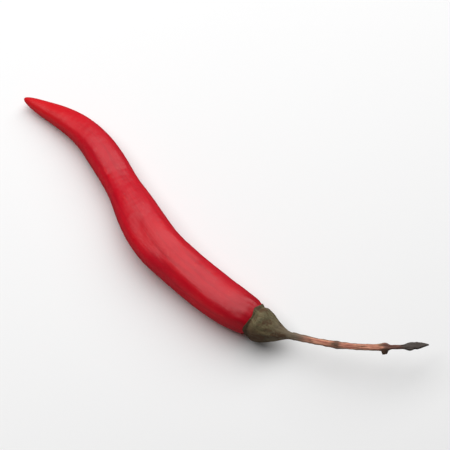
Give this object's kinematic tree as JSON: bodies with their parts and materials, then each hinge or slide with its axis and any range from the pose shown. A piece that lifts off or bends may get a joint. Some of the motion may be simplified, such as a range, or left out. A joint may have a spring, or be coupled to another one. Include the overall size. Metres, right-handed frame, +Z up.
{
  "type": "chilli pepper",
  "caption": "Slender ripe red chilli pepper lying on a surface, its pod bent in a gentle S, with a green calyx and a thin dry stem",
  "frame": {"origin": "On the surface that the chilli lies on, under the middle of its overall box", "axes": "+Z up from the surface; +X along the whole chilli, from the tip of the pod to the torn end of the stem; +Y across it, to the left when looking from the tip to the stem"},
  "size_m": [0.106, 0.0234, 0.0094],
  "materials": {
    "pod_skin": null,
    "calyx_green": "dull olive green with brown corky patches",
    "stem_bark": "dry tan stem with fine lengthwise ridges and a dark torn end"
  },
  "bodies": {
    "root": {"pod": "pod_skin", "calyx": "calyx_green", "stem": "stem_bark"}
  },
  "joints": []
}
